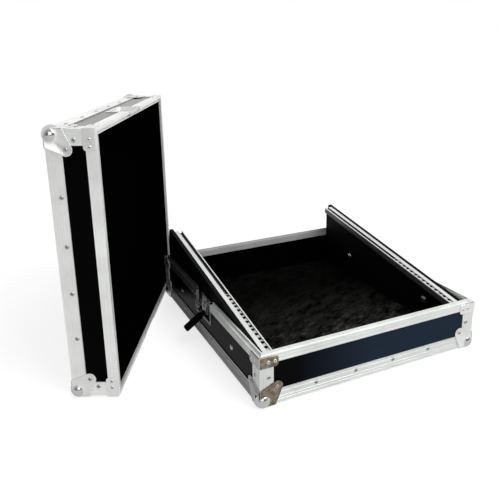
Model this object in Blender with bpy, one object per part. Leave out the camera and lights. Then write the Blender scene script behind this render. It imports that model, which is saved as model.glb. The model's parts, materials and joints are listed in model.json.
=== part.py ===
"""Rackmount mixer flight case: a shallow tray with sloping rack rails, and its lid lifted off
and stood on its long side. Driving dimensions are in millimetres and are turned into metres
where a mesh is made. Each shell is drawn in its own frame: x across, y front to back, z from
the closed outer face to the opening."""

import math

import bmesh
import bpy
from mathutils import Matrix, Vector

MM = 0.001
GAP = 0.3

# Whole case
WIDTH = 535.0
LENGTH = 600.0
TRAY_HEIGHT = 107.0
LID_HEIGHT = 94.0
FOOT = 7.0

# Panels and aluminium sections
PANEL = 7.0
SKIN = 1.5
PANEL_FACE = SKIN + GAP
PANEL_BACK = PANEL_FACE + PANEL
LEG = 30.0
GROOVE_DEPTH = 0.5
GROOVE_WIDTH = 1.6
GROOVES = (7.5, 13.5, 24.0)

# Closing sections: a tongue round the tray and a groove round the lid
INNER_LEG = PANEL_BACK + GAP + SKIN
TRAY_LIP = 17.0
LID_LIP = 21.0
TONGUE = (5.9, 9.7)
TONGUE_HEIGHT = 5.0
TONGUE_TAPER = 0.4
NOTCH_TIE = 3.0
TRAY_LIP_GROOVES = (4.5, 12.0)
GROOVE = (5.4, 10.1)
GROOVE_FLOOR = 5.5
LID_LIP_GROOVES = (5.0, 14.5)

# Ball corners and closing brackets
BALL = 34.0
LEAF_SKIN = 1.2
LEAF_START = 15.0
LEAF_FOOT = 34.0
LEAF_TIP = 37.0
LEAF_TIP_RADIUS = 12.5
LEAF_OUTER = -GAP - LEAF_SKIN
BRACKET = 40.0
BRACKET_TALL = 23.0
BRACKET_ROUND = 11.0
BRACKET_BELOW_RIM = 2.0

# Inside of the tray
LINER = 3.0
BOARD_INNER = 20.5
BOARD_FRONT = 11.0
SLOPE = math.atan(0.1633)
RAIL_START = 14.0
RAIL_LENGTH = 555.0
RAIL_FRONT_HEIGHT = 95.0 + 0.1633 * RAIL_START
BOARD_CORNER = (578.0, 589.0, 161.0)
BOLT_PLACES = ((140.0, 59.0), (460.0, 63.0))
BOLT_HEAD_RADIUS = 5.5
BOLT_HEAD_PROUD = 2.6

# Rack rail section and the tapped strip in it
RAIL_WIDTH = 21.2
RAIL_SKIN = 1.6
RAIL_OUTER_LEG = 2.0
RAIL_INNER_LEG = 1.8
RAIL_WEB = (-9.0, -7.0)
RAIL_FOOT = -15.0
RAIL_RIB = (5.0, 6.5, -3.6)
SLOT = (9.6, 18.4)
STRIP_LENGTH = 222.25
STRIP_SIZE = (12.3, 4.0)
STRIP_LEFT = 6.8
STRIP_DEPTH = 2.0
STRIP_START = 6.0
RACK_PITCH = (15.875, 15.875, 12.7)
RACK_UNITS = 5
RACK_FIRST_HOLE = 6.35
RACK_HOLE = 6.0

# Latch: half dish in the tray, half dish with the keeper in the lid
LATCH_FROM_FRONT = 306.0
DISH = (100.0, 54.0, 6.0)
TUB = (86.0, 49.0, 9.0)
TUB_WALL = 1.1
DISH_BELOW_RIM = 0.2
TUB_FLOOR = 7.6
SPINDLE_DROP = 27.0
AXLE = 1.5
THROW = 5.0
ECCENTRIC = 6.5
TURN_PLATE_RADIUS = 12.0
TURN_PLATE_DEPTH = (3.6, 5.1)
KNUCKLE = (8.2, 12.0, 1.7)
HINGE_PIN = 0.8
HINGE_DROP = 14.0
HINGE_DEPTH = 1.9
HANDLE = (29.0, 57.0)
HANDLE_NECK = 7.9
HANDLE_FACES = (-1.0, 0.6)
HANDLE_BARREL = (1.5, 1.1)
HANDLE_OPEN = 125.0
HOOK_DEPTH = (5.4, 7.3)
HOOK_WIDTH = (16.0, 12.0)
HOOK_LIP = (2.2, 2.0)
HOOK_PAST_RIM = 5.3
KEEPER_BAR = (2.9, 4.9, 3.0)

# Where the lid stands beside the tray
LID_PLACE = (-315.6, 206.0)
LID_TURN = -27.4

FINISHES = {
    "laminate": ((0.012, 0.012, 0.016), 0.35, 0.0),
    "board": ((0.016, 0.016, 0.018), 0.6, 0.0),
    "felt": ((0.03, 0.03, 0.032), 0.95, 0.0),
    "aluminium": ((0.78, 0.79, 0.78), 0.38, 1.0),
    "chrome": ((0.72, 0.72, 0.72), 0.16, 1.0),
    "zinc": ((0.45, 0.45, 0.44), 0.4, 1.0),
    "black_steel": ((0.02, 0.02, 0.02), 0.45, 0.0),
}


def clear_scene():
    for obj in list(bpy.data.objects):
        bpy.data.objects.remove(obj, do_unlink=True)


def finish(obj, kind):
    colour, roughness, metallic = FINISHES[kind]
    material = bpy.data.materials.new(f"{obj.name}_{kind}")
    material.use_nodes = True
    shader = material.node_tree.nodes["Principled BSDF"]
    shader.inputs["Base Color"].default_value = (*colour, 1.0)
    shader.inputs["Roughness"].default_value = roughness
    shader.inputs["Metallic"].default_value = metallic
    obj.data.materials.append(material)


def empty(name, parent=None, matrix=None):
    obj = bpy.data.objects.new(name, None)
    bpy.context.scene.collection.objects.link(obj)
    obj.parent = parent
    if matrix is not None:
        obj.matrix_local = matrix
    return obj


def place(name, bm, kind, parent, matrix=None, smooth=0.0):
    """Turn a bmesh drawn in millimetres into an object."""
    bmesh.ops.scale(bm, vec=(MM, MM, MM), verts=bm.verts)
    bmesh.ops.recalc_face_normals(bm, faces=bm.faces)
    mesh = bpy.data.meshes.new(name)
    bm.to_mesh(mesh)
    bm.free()
    obj = bpy.data.objects.new(name, mesh)
    bpy.context.scene.collection.objects.link(obj)
    obj.parent = parent
    if matrix is not None:
        obj.matrix_local = matrix
    if smooth:
        mesh.shade_smooth()
        mesh.set_sharp_from_angle(angle=math.radians(smooth))
    if kind:
        finish(obj, kind)
    return obj


def tool(name, bm, parent, matrix=None):
    """A shape that only joins to or cuts another one."""
    obj = place(name, bm, None, parent, matrix)
    obj.hide_render = True
    obj.display_type = "WIRE"
    return obj


def combine(obj, operation, *tools):
    for other in tools:
        modifier = obj.modifiers.new(other.name, "BOOLEAN")
        modifier.operation = operation
        modifier.solver = "EXACT"
        modifier.object = other


def box(low, high):
    bm = bmesh.new()
    bmesh.ops.create_cube(bm, size=1.0)
    for vert in bm.verts:
        for axis in range(3):
            vert.co[axis] = high[axis] if vert.co[axis] > 0 else low[axis]
    return bm


def prism(outline, start, end, axis="z"):
    """Extrude an outline along an axis; the outline's two numbers are the other two axes."""
    order = {"x": (2, 0, 1), "y": (0, 2, 1), "z": (0, 1, 2)}[axis]
    bm = bmesh.new()
    verts = []
    for first, second in outline:
        values = (first, second, start)
        verts.append(bm.verts.new([values[index] for index in order]))
    face = bm.faces.new(verts)
    grown = bmesh.ops.extrude_face_region(bm, geom=[face])
    shift = Vector([(0.0, 0.0, end - start)[index] for index in order])
    moved = [item for item in grown["geom"] if isinstance(item, bmesh.types.BMVert)]
    bmesh.ops.translate(bm, vec=shift, verts=moved)
    return bm


def mitred(outline, length):
    """Extrude an outline of (inward, up) along x, with both ends cut at 45 degrees."""
    bm = bmesh.new()
    rings = []
    for end in (False, True):
        ring = []
        for inward, up in outline:
            reach = inward + GAP / 2
            ring.append(bm.verts.new((length - reach if end else reach, inward, up)))
        rings.append(ring)
        bm.faces.new(ring)
    for index in range(len(outline)):
        after = (index + 1) % len(outline)
        bm.faces.new((rings[0][index], rings[0][after], rings[1][after], rings[1][index]))
    return bm


def cylinder(radius, start, end, axis, centre=(0.0, 0.0), sides=12):
    """Round bar along an axis; the centre's two numbers are the other two axes."""
    outline = []
    for index in range(sides):
        turn = 2 * math.pi * (index + 0.5) / sides
        outline.append((centre[0] + radius * math.cos(turn), centre[1] + radius * math.sin(turn)))
    return prism(outline, start, end, axis)


def rounded(corners, steps=4):
    """Outline with an arc at each corner given as (x, y, radius); a radius of 0 stays sharp."""
    points = []
    count = len(corners)
    for index, (x, y, radius) in enumerate(corners):
        here = Vector((x, y))
        if radius == 0:
            points.append(tuple(here))
            continue
        before = (Vector(corners[index - 1][:2]) - here).normalized()
        after = (Vector(corners[(index + 1) % count][:2]) - here).normalized()
        half = before.angle(after) / 2
        centre = here + (before + after).normalized() * (radius / math.sin(half))
        first = here + before * (radius / math.tan(half)) - centre
        last = here + after * (radius / math.tan(half)) - centre
        sweep = first.angle_signed(last)
        for step in range(steps + 1):
            turn = -sweep * step / steps
            points.append(tuple(centre + Matrix.Rotation(turn, 2) @ first))
    return points


def grooved_face(places, along):
    """Points down a leg's outer face, with a shallow groove at each place."""
    points = []
    for place_at in places:
        for offset, depth in ((-0.5, 0.0), (-0.3, 1.0), (0.3, 1.0), (0.5, 0.0)):
            position = place_at + offset * GROOVE_WIDTH
            points.append((depth * GROOVE_DEPTH, position) if along == "up"
                          else (position, depth * GROOVE_DEPTH))
    return points


def angle_outline():
    """Section of the ribbed angle: both legs start at the corner (0, 0)."""
    up_leg = grooved_face(reversed(GROOVES), "up")
    up_leg.sort(key=lambda point: -point[1])
    flat_leg = grooved_face(GROOVES, "flat")
    return ([(SKIN, SKIN), (SKIN, LEG), (0.0, LEG)] + up_leg + [(0.0, 0.0)]
            + flat_leg + [(LEG, 0.0), (LEG, SKIN)])


def tongue_outline(top):
    """Tray closing section, as (inward, up)."""
    low = top - TRAY_LIP
    face = grooved_face([low + place for place in TRAY_LIP_GROOVES], "up")
    first, last = TONGUE
    return ([(SKIN, top - SKIN), (SKIN, low), (0.0, low)] + face
            + [(0.0, top), (first, top), (first + TONGUE_TAPER, top + TONGUE_HEIGHT),
               (last - TONGUE_TAPER, top + TONGUE_HEIGHT), (last, top), (INNER_LEG, top),
               (INNER_LEG, low), (INNER_LEG - SKIN, low), (INNER_LEG - SKIN, top - SKIN)])


def groove_outline(top):
    """Lid closing section, as (inward, up)."""
    low = top - LID_LIP
    face = grooved_face([low + place for place in LID_LIP_GROOVES], "up")
    first, last = GROOVE
    floor = top - GROOVE_FLOOR
    web = floor - SKIN
    return ([(SKIN, web), (SKIN, low), (0.0, low)] + face
            + [(0.0, top), (first, top), (first, floor), (last, floor), (last, top),
               (last + SKIN, top), (last + SKIN, web), (INNER_LEG, web), (INNER_LEG, low),
               (INNER_LEG - SKIN, low), (INNER_LEG - SKIN, web)])


def side_frames():
    """Origin, turn and length of the four sides; x runs along a side and y points inward."""
    return (((0.0, 0.0), 0, WIDTH), ((WIDTH, 0.0), 90, LENGTH),
            ((WIDTH, LENGTH), 180, WIDTH), ((0.0, LENGTH), 270, LENGTH))


def side_matrix(origin, turn, shift=(0.0, 0.0, 0.0)):
    base = Matrix.Translation(Vector((origin[0], origin[1], 0.0)) * MM)
    return base @ Matrix.Rotation(math.radians(turn), 4, "Z") @ Matrix.Translation(Vector(shift) * MM)


def leaf_outline(outer):
    """Pressed leaf: a foot along each edge of the case, narrowing to a round tip."""
    foot = Vector((LEAF_FOOT, outer))
    tip = Vector((LEAF_TIP, LEAF_TIP))
    towards = tip - foot
    lean = math.atan2(towards.y, towards.x) - math.asin(LEAF_TIP_RADIUS / towards.length)
    first = lean - math.pi / 2
    last = math.pi / 2 - first
    points = [(LEAF_START, outer), (LEAF_FOOT, outer)]
    steps = 7
    for step in range(steps + 1):
        turn = first + (last - first) * step / steps
        points.append((tip.x + LEAF_TIP_RADIUS * math.cos(turn),
                       tip.y + LEAF_TIP_RADIUS * math.sin(turn)))
    return points + [(outer, LEAF_FOOT), (outer, LEAF_START), (LEAF_START, LEAF_START)]


def ball_corner(name, parent, matrix):
    """Pressed corner: a ball at the point of the case and three leaves."""
    radius = BALL / 2
    ball = bmesh.new()
    bmesh.ops.create_uvsphere(ball, u_segments=20, v_segments=12, radius=radius)
    bmesh.ops.translate(ball, vec=(radius - FOOT,) * 3, verts=ball.verts)
    corner = place(name, ball, "chrome", parent, matrix, smooth=40)
    inside = tool(f"{name}_inside", box((SKIN,) * 3, (LEG + SKIN,) * 3), parent, matrix)
    combine(corner, "DIFFERENCE", inside)
    for axis in "xyz":
        leaf = prism(leaf_outline(LEAF_OUTER), LEAF_OUTER, -GAP, axis)
        combine(corner, "UNION", tool(f"{name}_leaf_{axis}", leaf, parent, matrix))


def corner_post(name, top, lip, parent, matrix):
    """Ribbed angle up a corner, with the closing bracket that holds it to the closing section."""
    post_top = top - lip - GAP
    post = place(name, prism(angle_outline(), LEG + GAP, post_top), "aluminium", parent, matrix)
    high = top - BRACKET_BELOW_RIM
    low = high - BRACKET_TALL
    under = GROOVES[-1] + GROOVE_WIDTH
    for axis in "xy":
        leaf = rounded(((LEAF_OUTER, low, 0), (BRACKET, low, BRACKET_ROUND),
                        (BRACKET, high, BRACKET_ROUND), (LEAF_OUTER, high, 0)))
        shape = prism(leaf, LEAF_OUTER, -GAP, axis)
        foot = ((LEAF_OUTER, low), (under, low), (under, post_top), (LEAF_OUTER, post_top))
        pad = prism(foot, LEAF_OUTER + GAP, GAP, axis)
        combine(post, "UNION", tool(f"{name}_leaf_{axis}", shape, parent, matrix),
                tool(f"{name}_pad_{axis}", pad, parent, matrix))


def dish_outline(size, edge, past=0.0):
    """Half dish that hangs from the joint line; a cutter's outline runs past that line."""
    width, tall, radius = size
    low = edge - tall
    return rounded(((-width / 2, edge + past, 0), (-width / 2, low, radius),
                    (width / 2, low, radius), (width / 2, edge + past, 0)))


def grown(size, by):
    return (size[0] + 2 * by, size[1] + by, size[2] + by)


def latch_dish(name, top, parent, matrix, keeper):
    """Pressed half dish: a flange on the wall's face and a tub through the panel."""
    edge = top - DISH_BELOW_RIM
    dish = place(name, prism(dish_outline(DISH, edge), GAP, SKIN, "y"), "zinc", parent, matrix)
    tub = prism(dish_outline(TUB, edge), GAP, TUB_FLOOR + TUB_WALL, "y")
    pocket = prism(dish_outline(grown(TUB, -TUB_WALL), edge, 1.0), -1.0, TUB_FLOOR, "y")
    combine(dish, "UNION", tool(f"{name}_tub", tub, parent, matrix))
    combine(dish, "DIFFERENCE", tool(f"{name}_pocket", pocket, parent, matrix))
    if keeper:
        near, far, tall = KEEPER_BAR
        reach = TUB[0] / 2 - TUB_WALL / 2
        bar = box((-reach, near, edge - tall), (reach, far, edge))
        combine(dish, "UNION", tool(f"{name}_bar", bar, parent, matrix))
    else:
        axle = cylinder(AXLE + 0.4, TUB_FLOOR - 1, PANEL_BACK + 1, "y", (0.0, top - SPINDLE_DROP))
        combine(dish, "DIFFERENCE", tool(f"{name}_axle_hole", axle, parent, matrix))


def shell(prefix, root, top, lip, section, names, corner_names, latch_places, keeper):
    """Closed panel, four walls and all the aluminium and pressed corners of one half."""
    floor = box((PANEL_FACE, PANEL_FACE, PANEL_FACE),
                (WIDTH - PANEL_FACE, LENGTH - PANEL_FACE, PANEL_BACK))
    place(f"{prefix}_{'floor' if prefix == 'tray' else 'top'}_panel", floor, "laminate", root)
    web = top - SKIN if prefix == "tray" else top - GROOVE_FLOOR - SKIN
    for index, (origin, turn, length) in enumerate(side_frames()):
        name = names[index]
        matrix = side_matrix(origin, turn)
        inset = PANEL_FACE if length == LENGTH else PANEL_BACK + GAP
        wall = place(f"{prefix}_{name}_panel",
                     box((inset, PANEL_FACE, PANEL_BACK + GAP),
                         (length - inset, PANEL_BACK, web - GAP)), "laminate", root, matrix)
        place(f"{prefix}_{name}_edge",
              prism(angle_outline(), LEG + GAP, length - LEG - GAP, "x"),
              "aluminium", root, matrix)
        rim = place(f"{prefix}_{name}_closing_rail", mitred(section(top), length),
                    "aluminium", root, matrix)
        corner_post(f"{prefix}_{corner_names[index]}_post", top, lip, root, matrix)
        ball_corner(f"{prefix}_{corner_names[index]}_ball_corner", root, matrix)
        if name in latch_places:
            along = side_matrix(origin, turn, (latch_places[name], 0.0, 0.0))
            wide, tall, _ = grown(TUB, GAP)
            hole = box((-wide / 2, SKIN / 2, top - DISH_BELOW_RIM - tall),
                       (wide / 2, PANEL_BACK + 1, top + 1))
            combine(wall, "DIFFERENCE", tool(f"{prefix}_{name}_panel_hole", hole, root, along))
            half = DISH[0] / 2 + GAP
            above = top + TONGUE_HEIGHT + 1
            notch = box((-half, -1.0, top - lip - 1), (half, PANEL_BACK + GAP / 2, above))
            combine(rim, "DIFFERENCE", tool(f"{prefix}_{name}_rail_notch", notch, root, along))
            if not keeper:
                gap = box((-half, PANEL_BACK, top - lip + NOTCH_TIE), (half, INNER_LEG + 1, above))
                combine(rim, "DIFFERENCE", tool(f"{prefix}_{name}_rail_gap", gap, root, along))
            latch_dish(f"{prefix}_{name}_{'keeper' if keeper else 'latch'}_dish", top, root,
                       along, keeper)


def tray_inside(root):
    inner = BOARD_INNER + GAP
    liner = box((inner, PANEL_BACK + GAP, PANEL_BACK + GAP),
                (WIDTH - inner, LENGTH - PANEL_BACK - GAP, PANEL_BACK + GAP + LINER))
    place("tray_floor_liner", liner, "felt", root)
    for side, sign in (("left", 1), ("right", -1)):
        frame = Matrix.Translation(Vector((0.0 if sign > 0 else WIDTH, 0.0, 0.0)) * MM)
        wedge_board(side, sign, root, frame)
        rack_rail(side, sign, root, frame)


def rail_height(y):
    return RAIL_FRONT_HEIGHT + (y - RAIL_START) * math.tan(SLOPE)


def wedge_board(side, sign, root, frame):
    """Board that carries a rack rail: its top edge follows the slope of the rail."""
    corner_y, rear, corner_z = BOARD_CORNER
    base = PANEL_BACK + GAP
    outline = ((BOARD_FRONT, base), (rear, base), (rear, corner_z), (corner_y, rail_height(corner_y)),
               (BOARD_FRONT, rail_height(BOARD_FRONT)))
    near = sign * (PANEL_BACK + GAP)
    far = sign * BOARD_INNER
    name = f"{side}_wedge_board"
    board = place(name, prism(outline, near, far, "x"), "board", root, frame)
    side_from, side_to = sorted((0.0, sign * (INNER_LEG + GAP)))
    rebate = box((side_from, 0.0, TRAY_HEIGHT - TRAY_LIP - GAP), (side_to, LENGTH, 2 * corner_z))
    combine(board, "DIFFERENCE", tool(f"{name}_rebate", rebate, root, frame))
    for index, (y, z) in enumerate(BOLT_PLACES):
        head = cylinder(BOLT_HEAD_RADIUS, sign * (BOARD_INNER - 1),
                        sign * (BOARD_INNER + BOLT_HEAD_PROUD), "x", (y, z))
        combine(board, "UNION", tool(f"{name}_bolt_{index}", head, root, frame))


def rail_section():
    """Section of the rack rail as (inward, up) from its top outer edge."""
    first, last = SLOT
    flange = -RAIL_SKIN
    low, high = RAIL_WEB
    outer = RAIL_OUTER_LEG
    inner = RAIL_WIDTH - RAIL_INNER_LEG
    rib, rib_end, rib_top = RAIL_RIB
    return ((0.0, RAIL_FOOT), (0.0, 0.0), (first, 0.0), (first, flange), (outer, flange),
            (outer, high), (rib, high), (rib, rib_top), (rib_end, rib_top), (rib_end, high),
            (inner, high), (inner, flange), (last, flange), (last, 0.0), (RAIL_WIDTH, 0.0),
            (RAIL_WIDTH, RAIL_FOOT), (inner, RAIL_FOOT), (inner, low), (outer, low),
            (outer, RAIL_FOOT))


def rack_rail(side, sign, root, frame):
    """Slotted rail on the board's inner face, and the tapped strip that slides in it."""
    start = Vector((sign * (BOARD_INNER + GAP), RAIL_START, RAIL_FRONT_HEIGHT)) * MM
    slope = frame @ Matrix.Translation(start) @ Matrix.Rotation(SLOPE, 4, "X")
    outline = [(sign * inward, up) for inward, up in rail_section()]
    place(f"{side}_rack_rail", prism(outline, 0.0, RAIL_LENGTH, "y"), "aluminium", root, slope)
    wide, thick = STRIP_SIZE
    low = (min(sign * STRIP_LEFT, sign * (STRIP_LEFT + wide)), STRIP_START, -STRIP_DEPTH - thick)
    high = (low[0] + wide, STRIP_START + STRIP_LENGTH, -STRIP_DEPTH)
    name = f"{side}_tapped_strip"
    strip = place(name, box(low, high), "zinc", root, slope)
    centre = sign * (SLOT[0] + SLOT[1]) / 2
    holes = None
    for along in rack_holes():
        hole = cylinder(RACK_HOLE / 2, -STRIP_DEPTH - thick - 1, -STRIP_DEPTH + 1, "z",
                        (centre, STRIP_START + along), 8)
        holes = hole if holes is None else merged(holes, hole)
    combine(strip, "DIFFERENCE", tool(f"{name}_holes", holes, root, slope))


def merged(first, second):
    """Add the second bmesh's separate body to the first one."""
    mesh = bpy.data.meshes.new("merged")
    second.to_mesh(mesh)
    second.free()
    first.from_mesh(mesh)
    bpy.data.meshes.remove(mesh)
    return first


def rack_holes():
    """Distances of the tapped holes from the strip's lower end."""
    places = []
    at = RACK_FIRST_HOLE
    for index in range(3 * RACK_UNITS):
        places.append(at)
        at += RACK_PITCH[index % 3]
    return places


def latch(side, root, matrix):
    """Turn plate with its eccentric, the hook it drives, and the folding handle on it."""
    wide = TURN_PLATE_RADIUS
    near, far = TURN_PLATE_DEPTH
    first, last, round_to = KNUCKLE
    turn_plate = place(f"{side}_latch_turn_plate", cylinder(wide, near, far, "y", sides=24),
                       "zinc", root, matrix, smooth=40)
    name = turn_plate.name
    parts = {
        "tab": box((-wide, near, -HINGE_DROP - round_to - GAP), (wide, far, -wide / 2)),
        "eccentric": cylinder(ECCENTRIC, far - GAP, HOOK_DEPTH[1] - GAP, "y", (0.0, -THROW), 20),
        "axle": cylinder(AXLE, HOOK_DEPTH[1] - 1, PANEL_BACK, "y"),
        "pin": cylinder(HINGE_PIN, -first - 1, first + 1, "x", (HINGE_DEPTH, -HINGE_DROP), 8),
    }
    for end, sign in (("left", -1), ("right", 1)):
        low, high = sorted((sign * first, sign * last))
        parts[f"{end}_knuckle"] = cylinder(round_to, low, high, "x", (HINGE_DEPTH, -HINGE_DROP))
        parts[f"{end}_web"] = box((low, HINGE_DEPTH, -HINGE_DROP - round_to + 0.05),
                                  (high, near + 0.2, -HINGE_DROP + round_to - 0.05))
    for key, shape in parts.items():
        combine(turn_plate, "UNION", tool(f"{name}_{key}", shape, root, matrix))
    hook_plate(side, root, matrix)
    hinge = matrix @ Matrix.Translation(Vector((0.0, HINGE_DEPTH, -HINGE_DROP)) * MM)
    handle(side, root, hinge @ Matrix.Rotation(math.radians(HANDLE_OPEN), 4, "X"))


def hook_plate(side, root, matrix):
    """Flat plate moved up and down by the eccentric in its slot, with the hook at its top."""
    near, far = HOOK_DEPTH
    body, neck = HOOK_WIDTH
    tip = SPINDLE_DROP + HOOK_PAST_RIM
    outline = rounded(((-body, -17.5, 3), (body, -17.5, 3), (body, 8.0, 3), (neck, 15.0, 3),
                       (neck, tip, 0), (-neck, tip, 0), (-neck, 15.0, 3), (-body, 8.0, 3)), 2)
    name = f"{side}_latch_hook"
    hook = place(name, prism(outline, near, far, "y"), "zinc", root, matrix)
    wide = ECCENTRIC + THROW + 0.9
    tall = ECCENTRIC + 1.35
    slot = rounded(((-wide, -THROW - tall, 3), (wide, -THROW - tall, 3),
                    (wide, -THROW + tall, 3), (-wide, -THROW + tall, 3)), 3)
    combine(hook, "DIFFERENCE", tool(f"{name}_slot", prism(slot, near - 1, far + 1, "y"),
                                     root, matrix))
    lip_proud, lip_tall = HOOK_LIP
    lip = box((-neck, near - lip_proud, tip - lip_tall), (neck, near + 0.5, tip))
    combine(hook, "UNION", tool(f"{name}_lip", lip, root, matrix))


def handle(side, root, matrix):
    """Folding handle, drawn folded flat: it points up from its hinge."""
    wide, long = HANDLE
    neck = HANDLE_NECK
    outer, bore = HANDLE_BARREL
    outline = rounded(((-neck, 0.5, 0), (neck, 0.5, 0), (neck, 5.0, 0), (wide / 2, 7.0, 1.5),
                       (wide / 2, long, 6), (-wide / 2, long, 6), (-wide / 2, 7.0, 1.5),
                       (-neck, 5.0, 0)), 4)
    name = f"{side}_latch_handle"
    lever = place(name, prism(outline, *HANDLE_FACES, "y"), "black_steel", root, matrix)
    barrel = cylinder(outer, -neck, neck, "x")
    combine(lever, "UNION", tool(f"{name}_barrel", barrel, root, matrix))
    hole = cylinder(bore, -neck - 1, neck + 1, "x", sides=8)
    combine(lever, "DIFFERENCE", tool(f"{name}_bore", hole, root, matrix))


def centre_on_footprint(case):
    """Stand the whole set on z = 0, with the middle of its footprint at the origin."""
    bpy.context.view_layer.update()
    graph = bpy.context.evaluated_depsgraph_get()
    corners = []
    for obj in bpy.data.objects:
        if obj.type == "MESH" and not obj.hide_render:
            shape = obj.evaluated_get(graph)
            corners += [shape.matrix_world @ vert.co for vert in shape.data.vertices]
    low = [min(corner[axis] for corner in corners) for axis in range(3)]
    high = [max(corner[axis] for corner in corners) for axis in range(3)]
    case.location = (-(low[0] + high[0]) / 2, -(low[1] + high[1]) / 2, -low[2])


def main():
    clear_scene()
    case = empty("case")
    tray = empty("tray", case, Matrix.Translation((0.0, 0.0, FOOT * MM)))
    from_rear = LENGTH - LATCH_FROM_FRONT
    shell("tray", tray, TRAY_HEIGHT, TRAY_LIP, tongue_outline,
          ("front", "right", "rear", "left"),
          ("front_left", "front_right", "rear_right", "rear_left"),
          {"right": LATCH_FROM_FRONT, "left": from_rear}, keeper=False)
    tray_inside(tray)
    frames = side_frames()
    spindle = TRAY_HEIGHT - SPINDLE_DROP
    latch("right", tray, side_matrix(*frames[1][:2], (LATCH_FROM_FRONT, 0.0, spindle)))
    latch("left", tray, side_matrix(*frames[3][:2], (from_rear, 0.0, spindle)))

    across = Vector((0.0, 0.0, -1.0))
    turn = Matrix.Rotation(math.radians(LID_TURN), 3, "Z")
    along = turn @ Vector((0.0, 1.0, 0.0))
    out = turn @ Vector((1.0, 0.0, 0.0))
    stand = Matrix((across, along, out)).transposed().to_4x4()
    stand.translation = Vector((LID_PLACE[0], LID_PLACE[1], WIDTH + FOOT)) * MM
    lid = empty("lid", case, stand)
    shell("lid", lid, LID_HEIGHT, LID_LIP, groove_outline,
          ("rear", "right", "front", "left"),
          ("rear_left", "rear_right", "front_right", "front_left"),
          {"right": from_rear, "left": LATCH_FROM_FRONT}, keeper=True)
    centre_on_footprint(case)


main()
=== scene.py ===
"""Looks of a rackmount mixer flight case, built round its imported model."""

import json
import math

import bmesh
import bpy
from mathutils import Matrix, Vector


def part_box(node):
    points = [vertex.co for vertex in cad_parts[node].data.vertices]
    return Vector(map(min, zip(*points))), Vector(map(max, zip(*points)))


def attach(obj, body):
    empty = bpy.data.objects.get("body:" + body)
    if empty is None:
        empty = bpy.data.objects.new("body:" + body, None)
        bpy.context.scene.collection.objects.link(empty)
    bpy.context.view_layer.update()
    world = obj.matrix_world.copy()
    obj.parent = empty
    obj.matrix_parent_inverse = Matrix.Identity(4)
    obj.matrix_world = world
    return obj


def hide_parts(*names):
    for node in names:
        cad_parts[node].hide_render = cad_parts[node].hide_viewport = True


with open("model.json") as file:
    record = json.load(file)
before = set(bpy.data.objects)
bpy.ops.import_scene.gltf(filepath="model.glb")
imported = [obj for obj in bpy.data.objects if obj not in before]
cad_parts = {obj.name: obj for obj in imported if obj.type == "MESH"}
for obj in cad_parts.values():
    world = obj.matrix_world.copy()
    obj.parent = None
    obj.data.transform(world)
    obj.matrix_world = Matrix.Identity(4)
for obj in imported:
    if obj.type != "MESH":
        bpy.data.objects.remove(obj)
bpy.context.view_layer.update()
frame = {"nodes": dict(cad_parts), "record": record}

bl_info = {
    "name": "Mixer flight case",
    "version": (1, 0, 0),
    "blender": (4, 5, 0),
    "location": "View3D > Sidebar > Flight case",
    "description": "Finishes and small parts of a rackmount mixer flight case with its lid off",
    "category": "Object",
}

MM = 0.001
PANEL_FRONT = 1.8
PANEL_BACK = 8.8
LID_TURN = math.radians(-27.4)
SHARP_FROM = 35.0
IN_PLACE = Matrix.Identity(4)


def millimetres(value):
    return value / MM


def tray_matrix():
    """Frame of the tray: x along the front, y to the back, z up, in millimetres."""
    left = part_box("tray_left_edge")[0]
    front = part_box("tray_front_edge")[0]
    return Matrix.Translation((left[0], front[1], front[2])) @ Matrix.Scale(MM, 4)


def lid_matrix(width, length):
    """Frame of the standing lid: x down, y along its long side, z from its top to its rim."""
    low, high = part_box("lid_top_panel")
    middle = (Vector(low) + Vector(high)) / 2
    turn = Matrix.Rotation(LID_TURN, 3, "Z")
    axes = Matrix((Vector((0, 0, -1)), turn @ Vector((0, 1, 0)), turn @ Vector((1, 0, 0))))
    matrix = axes.transposed().to_4x4() @ Matrix.Scale(MM, 4)
    panel_middle = Vector((width / 2, length / 2, (PANEL_FRONT + PANEL_BACK) / 2))
    return Matrix.Translation(middle - matrix @ panel_middle) @ matrix


WIDTH = millimetres(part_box("tray_right_edge")[1][0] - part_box("tray_left_edge")[0][0])
LENGTH = millimetres(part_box("tray_rear_edge")[1][1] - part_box("tray_front_edge")[0][1])
TONGUE = 5.0
TRAY_TOP = millimetres(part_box("tray_front_closing_rail")[1][2]
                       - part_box("tray_front_edge")[0][2]) - TONGUE
LID_TOP = 94.0
TRAY = tray_matrix()
LID = lid_matrix(WIDTH, LENGTH)


def nodes_of(material_slot):
    return [part["node"] for part in frame["record"]["subparts"]
            if part["material_slot"] == material_slot]


def moved(x, y, z):
    return Matrix.Translation((x, y, z))


def spun(degrees, axis):
    return Matrix.Rotation(math.radians(degrees), 4, axis)


def scaled(colour, factor):
    return [factor * value for value in colour]


def node(owner, kind, inputs=None, **settings):
    """New node in the tree of a material or of the world."""
    made = owner.node_tree.nodes.new(kind)
    for key, value in settings.items():
        setattr(made, key, value)
    return fill(owner, made, inputs or {})


def fill(owner, made, inputs):
    """Set a node's inputs, or link them where the value is another node's output."""
    for key, value in inputs.items():
        if isinstance(value, bpy.types.NodeSocket):
            owner.node_tree.links.new(value, made.inputs[key])
        else:
            made.inputs[key].default_value = value
    return made


def shader_of(material):
    return material.node_tree.nodes["Principled BSDF"]


def shade(material, inputs):
    fill(material, shader_of(material), inputs)


def new_material(name, colour, roughness, metallic=0.0):
    material = bpy.data.materials.new(name)
    material.use_nodes = True
    shade(material, {"Base Color": (*colour, 1.0), "Roughness": roughness, "Metallic": metallic})
    return material


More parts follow.
